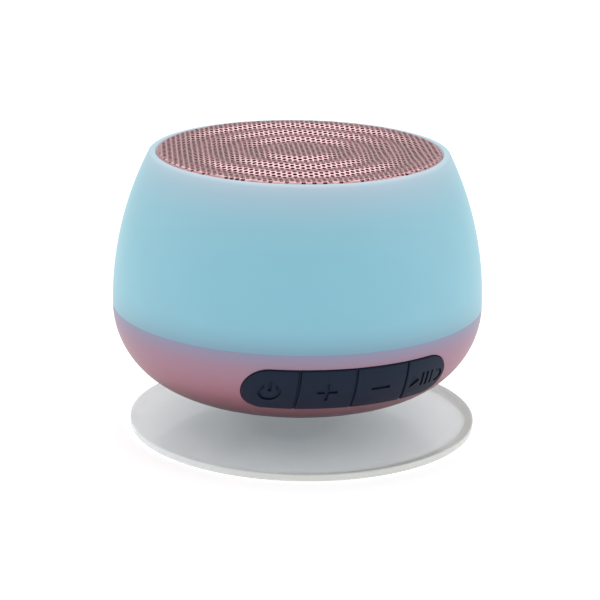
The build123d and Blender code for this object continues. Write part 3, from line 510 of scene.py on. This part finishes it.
# ---------------------------------------------------------------- perforated grille
HOLE_PITCH = 1.38
HOLE_R = 0.5
HOLE_SIDES = 12
HOLE_TURN = math.radians(-13.2)  # direction across the close-packed rows
HOLE_SHIFT = 0.6
RING_SIDES = 240
SHEET_T = 0.3
GRILLE_R = reach_of("grille")
CURL_R = 1.0
RIPPLE_FLAT = 6.6
RIPPLE_PITCH = 7.9
RIPPLES = 3
RIPPLE_DEPTH = 0.68
HOLE_REACH = GRILLE_R - CURL_R + 0.7  # hole centres stay inside this radius of the blank
SKIRT_STEPS = (0.12, 1.0)  # rings down the turned edge, as shares of its height


def grille_point(x, y, depth=0.0):
    """Carries a point of the flat blank onto the pressed sheet, or to depth below its surface."""
    s = math.hypot(x, y)
    flat = GRILLE_R - CURL_R
    quarter = CURL_R * math.pi / 2
    if s <= flat:
        r, z, tilt = s, GRILLE_Z, 0.0
        if RIPPLE_FLAT < s < RIPPLE_FLAT + RIPPLES * RIPPLE_PITCH:
            phase = math.tau * (s - RIPPLE_FLAT) / RIPPLE_PITCH
            z -= RIPPLE_DEPTH * (1 - math.cos(phase)) / 2
            tilt = math.atan(RIPPLE_DEPTH * math.pi / RIPPLE_PITCH * math.sin(phase))
    elif s <= flat + quarter:
        tilt = (s - flat) / CURL_R
        r, z = flat + CURL_R * math.sin(tilt), GRILLE_Z - CURL_R * (1 - math.cos(tilt))
    else:
        r, z, tilt = GRILLE_R, GRILLE_Z - CURL_R - (s - flat - quarter), math.pi / 2
    r -= depth * math.sin(tilt)
    z -= depth * math.cos(tilt)
    return (x / s * r, y / s * r, z) if s > 0 else (0, 0, z)


def make_grille():
    """A flat blank of hexagonal cells with a hole in each, pressed to shape and thickened."""
    bm = bmesh.new()
    row = Matrix.Rotation(HOLE_TURN, 2)
    step = HOLE_PITCH * math.sqrt(3) / 2
    corners = {}

    def corner(x, y):
        key = (round(x, 3), round(y, 3))
        if key not in corners:
            corners[key] = bm.verts.new((x, y, 0))
        return corners[key]

    def ring_at(s):
        spokes = [math.tau * i / RING_SIDES for i in range(RING_SIDES)]
        return [bm.verts.new((s * math.cos(a), s * math.sin(a), 0)) for a in spokes]

    count = int(GRILLE_R / step) + 2
    cell_r = HOLE_PITCH / math.sqrt(3)
    per = HOLE_SIDES // 6
    for i in range(-count, count + 1):
        for j in range(-count, count + 1):
            cx, cy = step * i + HOLE_SHIFT, HOLE_PITCH * (j + (i % 2) / 2)
            if math.hypot(cx, cy) > HOLE_REACH:
                continue
            outer = []
            for k in range(6):
                a = math.radians(60 * k)
                p = row @ Vector((cx + cell_r * math.cos(a), cy + cell_r * math.sin(a)))
                outer.append(corner(p.x, p.y))
            inner = []
            for k in range(HOLE_SIDES):
                a = math.tau * k / HOLE_SIDES
                p = row @ Vector((cx + HOLE_R * math.cos(a), cy + HOLE_R * math.sin(a)))
                inner.append(bm.verts.new((p.x, p.y, 0)))
            for k in range(6):
                one, two = outer[k], outer[(k + 1) % 6]
                span = [inner[(per * k + m) % HOLE_SIDES] for m in range(per + 1)]
                for m in range(per):
                    bm.faces.new((one if m < per // 2 else two, span[m + 1], span[m]))
                bm.faces.new((one, two, span[per // 2]))
    grid = set(corners.values())
    border = [e for e in bm.edges if e.is_boundary and e.verts[0] in grid and e.verts[1] in grid]
    edge_s = GRILLE_R - CURL_R + CURL_R * math.pi / 2
    ring = ring_at(edge_s)
    loop = [bm.edges.new((ring[i], ring[(i + 1) % RING_SIDES])) for i in range(RING_SIDES)]
    bmesh.ops.triangle_fill(bm, edges=border + loop, use_beauty=True, use_dissolve=False)
    skirt = GRILLE_Z - CURL_R - low_of("grille")
    for share in SKIRT_STEPS:
        lower = ring_at(edge_s + skirt * share)
        for i in range(RING_SIDES):
            n = (i + 1) % RING_SIDES
            bm.faces.new((ring[i], ring[n], lower[n], lower[i]))
        ring = lower
    # every face of the blank looks up, then gets a twin below it and walls along its open edges
    bm.normal_update()
    for face in bm.faces:
        if face.normal.z < 0:
            face.normal_flip()
    sheet = bm.faces[:]
    open_edges = [e for e in bm.edges if e.is_boundary]
    twin = {v: bm.verts.new(v.co) for v in bm.verts[:]}
    for e in open_edges:
        a, b = e.link_loops[0].vert, e.link_loops[0].link_loop_next.vert
        bm.faces.new((b, a, twin[a], twin[b]))
    for face in sheet:
        bm.faces.new([twin[v] for v in reversed(face.verts)])
    for v, below in twin.items():
        below.co = grille_point(v.co.x, v.co.y, SHEET_T)
        v.co = grille_point(v.co.x, v.co.y)
    obj = piece("grille_mesh", bm, "rose_steel", "housing", 40.0)
    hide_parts("grille")


CLOTH_T = 0.15
CLOTH_DROP = 0.08  # the cloth's mean surface lies this far below the top of its CAD solid
CLOTH_WAVE = 0.06
CLOTH_RINGS = 40


def make_cloth():
    """Woven cloth stretched under the grille, dimpled where the ripples press it."""
    top = top_of("grille_cloth")
    reach = reach_of("grille_cloth")
    upper = []
    for i in range(CLOTH_RINGS + 1):
        r = i * reach / CLOTH_RINGS
        phase = math.tau * (r - RIPPLE_FLAT) / RIPPLE_PITCH
        upper.append((r, top - CLOTH_DROP - CLOTH_WAVE * math.cos(phase)))
    lower = [(r, z - CLOTH_T) for r, z in reversed(upper)]
    obj = piece("grille_cloth_mesh", lathe(upper + lower, 120), "black_cloth", "housing")
    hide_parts("grille_cloth")


# ---------------------------------------------------------------- suction cup
CUP_NECK_R = 9.0
CUP_LEAN = 1.45  # the soft skirt sits this far off its centre, to the camera's right
CUP_EDGE = 1.7
CUP_LIP = 0.35  # rounding of the edge's upper corner
CUP_FOOT = 0.3  # and of its lower corner
CUP_HOLLOW = 1.9


def ease(t):
    """A smooth step from 0 to 1."""
    t = min(max(t, 0.0), 1.0)
    return t * t * (3 - 2 * t)


def make_cup():
    """Clear soft skirt, hollow below, with a rounded edge and a collar around the stud."""
    cup_r = reach_of("suction_cup")
    top = top_of("suction_cup")
    shoulder = (cup_r - 1.6, CUP_EDGE)
    under = [(0, CUP_HOLLOW), (2.5, CUP_HOLLOW), (5.0, CUP_HOLLOW)]
    below = [under[-1], (14.0, 1.65), (24.0, 1.25), (33.0, 0.55), (cup_r - 2.0, 0.0)]
    under += curve_points(below, 6)[1:]
    rim = (
        arc_points((cup_r - CUP_FOOT, CUP_FOOT), CUP_FOOT, -90, 0, 5)
        + arc_points((cup_r - CUP_LIP, CUP_EDGE - CUP_LIP), CUP_LIP, 0, 90, 6)
        + [shoulder]
    )
    above = [shoulder, (33.0, 2.2), (26.0, 2.75), (19.0, 3.5), (12.0, 4.6), (9.3, 5.9), (8.0, 8.4)]
    upper = curve_points(above, 8)[1:]
    neck = arc_points((7.5, top - 0.5), 0.5, 0, 90, 6)
    bm = lathe(under + rim + upper + neck + [(0, top)], 192)
    lean = CUP_LEAN * Vector((math.cos(CAMERA_AZ), math.sin(CAMERA_AZ), 0))
    for v in bm.verts:
        v.co += lean * ease((math.hypot(v.co.x, v.co.y) - CUP_NECK_R) / (cup_r / 2))
    obj = piece("suction_cup_mesh", bm, "clear_pvc", "suction_cup", 50)
    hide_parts("suction_cup")
    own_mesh(obj)


# ---------------------------------------------------------------- moving cloth and rubber of the driver
COIL_R = 7.6
CONE_R = 19.6
ROLL_R = 1.85
SPIDER_WAVES = 4
SPIDER_STEPS = 80


def follow_cone(obj):
    """Bakes obj's transform into its mesh.
    """
    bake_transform(obj)


def make_spider():
    """Corrugated woven disc that centres the coil."""
    low, reach = low_of("spider"), reach_of("spider")
    inner, outer = COIL_R + 0.8, reach - 1.2
    rise, thick, lift = 0.7, 0.3, 0.1
    upper = []
    for i in range(SPIDER_STEPS + 1):
        r = COIL_R + (reach - COIL_R) * i / SPIDER_STEPS
        t = min(max((r - inner) / (outer - inner), 0.0), 1.0)
        fold = (1 - math.cos(math.tau * SPIDER_WAVES * t)) / 2
        upper.append((r, low + thick + lift + rise * fold))
    lower = [(r, z - thick) for r, z in reversed(upper)]
    obj = piece("spider_mesh", lathe(upper + lower, 96), "spider_cloth")
    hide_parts("spider")
    follow_cone(obj)


def make_surround():
    """Half-roll rubber edge of the cone."""
    low, reach = low_of("cone_surround"), reach_of("cone_surround")
    thick = 0.4
    z = low + 0.3
    mid = CONE_R + 0.1 + ROLL_R
    out = [(CONE_R - 1.0, z)] + arc_points((mid, z), ROLL_R, 180, 0, 24)
    out += [(mid + ROLL_R, low), (reach, low), (reach, low + thick), (mid + ROLL_R + thick, low + thick)]
    out += arc_points((mid, z), ROLL_R + thick, 0, 165, 24) + [(CONE_R - 1.0, z + thick)]
    obj = piece("cone_surround_mesh", lathe(out, 120), "dark_rubber")
    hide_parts("cone_surround")
    follow_cone(obj)


# ---------------------------------------------------------------- soft battery cell
def make_battery():
    """Pouch cell: swollen foil faces, rounded corners and a sealed strip at its front end."""
    (x0, y0, z0), (x1, y1, z1) = ([c / MM for c in corner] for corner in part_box("battery"))
    half_x, half_y, half_z = (x1 - x0) / 2, (y1 - y0) / 2, (z1 - z0) / 2
    middle = Vector((x0 + x1, y0 + y1, z0 + z1)) / 2
    seal, seal_flat = 1.6, 0.25  # width of the sealed strip, and how much it is flattened
    bm = bmesh.new()
    bmesh.ops.create_cube(bm, size=2.0)
    bmesh.ops.subdivide_edges(bm, edges=bm.edges[:], cuts=24, use_grid_fill=True)
    for v in bm.verts:
        x, y, z = v.co
        swell = ((1 - abs(x) ** 6) * (1 - abs(y) ** 8)) ** 0.3
        wrinkle = 0.05 * math.sin(9 * x + 4 * y) * swell
        v.co = middle + Vector((x * half_x, y * half_y, z * (0.3 + (half_z - 0.38) * swell + wrinkle)))
        if v.co.y < y0 + seal:
            v.co.z = middle.z + (v.co.z - middle.z) * seal_flat
    obj = piece("battery_mesh", bm, "cell_pouch", "housing", 60)
    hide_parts("battery")


# ---------------------------------------------------------------- charging port cover
PORT_Z = 22.5
FLAP = (13.0, 8.0, 2.0)  # length, height and corner radius
FLAP_T = 1.1
PLUG = (8.0, 3.4, 1.0)
GRIP = (1.0, 4.6, 0.45)
GRIP_X = -5.1
ANCHOR_X = 9.0


def on_bowl(x, z, out):
    """The point of the base's rear side at x and z, moved out by out."""
    r = BOWL_C + math.sqrt((BOWL_ARC + out) ** 2 - (z - SEAM_Z) ** 2)
    return Vector((x, math.sqrt(r * r - x * x), z))


def round_outline(length, tall, corner, steps=8):
    """A rounded rectangle about the origin, as (x, z) points."""
    spots = []
    for k, (sx, sz) in enumerate(((1, 1), (-1, 1), (-1, -1), (1, -1))):
        for i in range(steps + 1):
            a = math.radians(90 * k + 90 * i / steps)
            spots.append(
                (
                    sx * (length / 2 - corner) + corner * math.cos(a),
                    sz * (tall / 2 - corner) + corner * math.sin(a),
                )
            )
    return spots


def bowl_pad(bm, centre, size, layers):
    """A closed rounded pad on the base's curve. Each layer is its inset and its distance out."""
    length, tall, corner = size
    rings = []
    for inset, out in layers:
        spots = round_outline(length - 2 * inset, tall - 2 * inset, max(corner - inset, 0.05))
        rings.append([bm.verts.new(on_bowl(centre[0] + x, centre[1] + z, out)) for x, z in spots])
    count = len(rings[0])
    for one, two in zip(rings, rings[1:]):
        for i in range(count):
            j = (i + 1) % count
            bm.faces.new((one[i], one[j], two[j], two[i]))
    for ring, out in ((rings[0], layers[0][1]), (rings[-1], layers[-1][1])):
        hub = bm.verts.new(on_bowl(*centre, out))
        for i in range(count):
            bm.faces.new((ring[i], ring[(i + 1) % count], hub))


def make_port_cover():
    """Moulded rubber flap with a rounded edge, a thumb ridge and a plug behind it."""
    bm = bmesh.new()
    face = [(3.4, 0.25), (2.6, 0.25), (1.7, 0.25), (0.9, 0.24), (0.45, 0.2), (0.18, 0.1), (0.03, -0.06)]
    sides = [(0.0, -0.25), (0.0, -1.0), (0.1, -FLAP_T), (3.4, -FLAP_T)]
    bowl_pad(bm, (0, PORT_Z), FLAP, face + sides)
    ridge = [(0.42, 0.78), (0.25, 0.72), (0.08, 0.55), (0.0, 0.4), (0.0, 0.0), (0.42, 0.0)]
    bowl_pad(bm, (GRIP_X, PORT_Z), GRIP, ridge)
    plug = [(1.4, -1.05), (0.0, -1.05), (0.0, -1.9), (0.2, -2.1), (1.4, -2.1)]
    bowl_pad(bm, (0, PORT_Z), PLUG, plug)
    obj = piece("port_cover_mesh", bm, "dark_rubber", "port_flap", 40)
    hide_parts("port_cover")


def make_port_strap():
    """The thin tether between the flap and its anchor."""
    x0, x1, steps = ANCHOR_X - 1.0, FLAP[0] / 2 - 0.6, 24
    bm = bmesh.new()
    rings = []
    for i in range(steps + 1):
        t = i / steps
        x = x0 + (x1 - x0) * t
        waist = math.sin(math.pi * t)  # the tether is narrower and thinner at its middle
        half = 1.9 - 0.35 * waist
        face = 0.16 - 0.12 * waist
        back = -0.42 + 0.08 * waist
        spots = [(half, back), (half, face - 0.1), (half - 0.1, face), (0.1 - half, face)]
        spots += [(-half, face - 0.1), (-half, back)]
        rings.append([bm.verts.new(on_bowl(x, PORT_Z + h, out)) for h, out in spots])
    for one, two in zip(rings, rings[1:]):
        for i in range(6):
            j = (i + 1) % 6
            bm.faces.new((one[i], one[j], two[j], two[i]))
    bm.faces.new(rings[0])
    bm.faces.new(rings[-1])
    obj = piece("port_strap", bm, "dark_rubber", sharp=50)
    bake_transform(obj)


# ---------------------------------------------------------------- stage, light, camera
FLOOR_REACH = 2500  # mm, half the floor's side
FLOOR_GAP = 0.02  # mm, below the object's lowest face
FLOOR_GLOW = 0.5
WORLD_LIGHT = 0.55
LIGHT_AIM = (0, 0, 0.035)


def make_floor():
    """A plain pale sheet that reads as white."""
    bm = bmesh.new()
    bmesh.ops.create_grid(bm, x_segments=8, y_segments=8, size=FLOOR_REACH)
    mat, bsdf = new_material("pale_floor")
    join(mat, vary(mat, (0.93, 0.93, 0.93, 1.0), noise(mat, 60.0), 0.01), bsdf.inputs["Base Color"])
    bsdf.inputs["Roughness"].default_value = 0.9
    bsdf.inputs["Emission Color"].default_value = (1, 1, 1, 1)
    bsdf.inputs["Emission Strength"].default_value = FLOOR_GLOW
    # seen from below, the floor is clear, so that it doesn't hide the underside
    clear = add(mat, "ShaderNodeBsdfTransparent")
    side = add(mat, "ShaderNodeNewGeometry")
    both = add(mat, "ShaderNodeMixShader")
    join(mat, side.outputs["Backfacing"], both.inputs["Fac"])
    join(mat, bsdf.outputs[0], both.inputs[1])
    join(mat, clear.outputs[0], both.inputs[2])
    join(mat, both.outputs[0], mat.node_tree.nodes["Material Output"].inputs["Surface"])
    bmesh.ops.scale(bm, vec=(MM, MM, MM), verts=bm.verts[:])
    mesh = bpy.data.meshes.new("floor")
    bm.to_mesh(mesh)
    bm.free()
    mesh.materials.append(mat)
    obj = bpy.data.objects.new("floor", mesh)
    obj.location.z = -FLOOR_GAP * MM
    bpy.context.scene.collection.objects.link(obj)


def area_light(name, place, size, power):
    """A soft rectangular light, aimed at the middle of the object."""
    data = bpy.data.lights.new(name, "AREA")
    data.shape = "RECTANGLE"
    data.size, data.size_y = size
    data.energy = power
    obj = bpy.data.objects.new(name, data)
    obj.location = place
    obj.rotation_euler = (Vector(LIGHT_AIM) - Vector(place)).to_track_quat("-Z", "Y").to_euler()
    bpy.context.scene.collection.objects.link(obj)


def around(azimuth, distance, z):
    """A place at an azimuth counted from the camera's side, positive to the camera's right."""
    a = CAMERA_AZ + math.radians(azimuth)
    return (math.sin(a) * distance, -math.cos(a) * distance, z)


def make_lights():
    area_light("left_soft", around(-80, 0.55, 0.25), (0.4, 0.5), 0.42)
    area_light("right_soft", around(80, 0.55, 0.25), (0.4, 0.5), 0.55)
    area_light("top_soft", (0, 0.1, 0.75), (0.6, 0.6), 0.75)
    area_light("back_soft", around(180, 0.5, 0.5), (0.7, 0.3), 0.75)
    world = bpy.data.worlds.new("studio")
    world.use_nodes = True
    sky = world.node_tree.nodes["Background"]
    sky.inputs["Color"].default_value = grey(1.0)
    # past the floor's edge the camera sees white, while the light from there stays soft
    seen = add(world, "ShaderNodeLightPath")
    level = add(world, "ShaderNodeMapRange")
    level.inputs["To Min"].default_value = WORLD_LIGHT
    join(world, seen.outputs["Is Camera Ray"], level.inputs["Value"])
    join(world, level.outputs[0], sky.inputs["Strength"])
    bpy.context.scene.world = world


def toward_camera(angle):
    """The direction from the object to the camera's side, raised by angle."""
    level = math.cos(angle)
    return Vector((math.sin(CAMERA_AZ) * level, -math.cos(CAMERA_AZ) * level, math.sin(angle)))


def make_camera():
    """The photograph's viewpoint, with its slight turn and roll."""
    upward = Vector((0, 0, 1))
    place = CAMERA_TARGET + CAMERA_DISTANCE * toward_camera(CAMERA_RISE)
    forward = -toward_camera(CAMERA_PITCH)
    right = forward.cross(upward).normalized()
    forward = (forward * math.cos(CAMERA_YAW) + right * math.sin(CAMERA_YAW)).normalized()
    right = forward.cross(upward).normalized()
    up = right.cross(forward)
    cos_roll, sin_roll = math.cos(CAMERA_ROLL), math.sin(CAMERA_ROLL)
    right, up = right * cos_roll + up * sin_roll, up * cos_roll - right * sin_roll
    data = bpy.data.cameras.new("camera")
    data.sensor_width = SENSOR_MM
    data.lens = FOCAL_PX / FRAME_PX * SENSOR_MM
    data.clip_start = 0.01
    obj = bpy.data.objects.new("camera", data)
    obj.matrix_world = Matrix.Translation(place) @ Matrix((right, up, -forward)).transposed().to_4x4()
    bpy.context.scene.collection.objects.link(obj)
    bpy.context.scene.camera = obj


# ---------------------------------------------------------------- build
# the mat behind the keys is moulded with them, so it takes their finish
for part in RECORD["subparts"]:
    node = NODES[part["node"]]
    finish = "key_rubber" if part["node"] == "keypad_mat" else part["material_slot"]
    for slot in node.material_slots:
        slot.material = MATERIALS[finish]

make_grille()
make_cloth()
make_cup()
make_spider()
make_surround()
make_battery()
make_port_cover()
make_port_strap()
make_floor()
make_lights()
make_camera()
bpy.context.scene.view_settings.view_transform = "Standard"
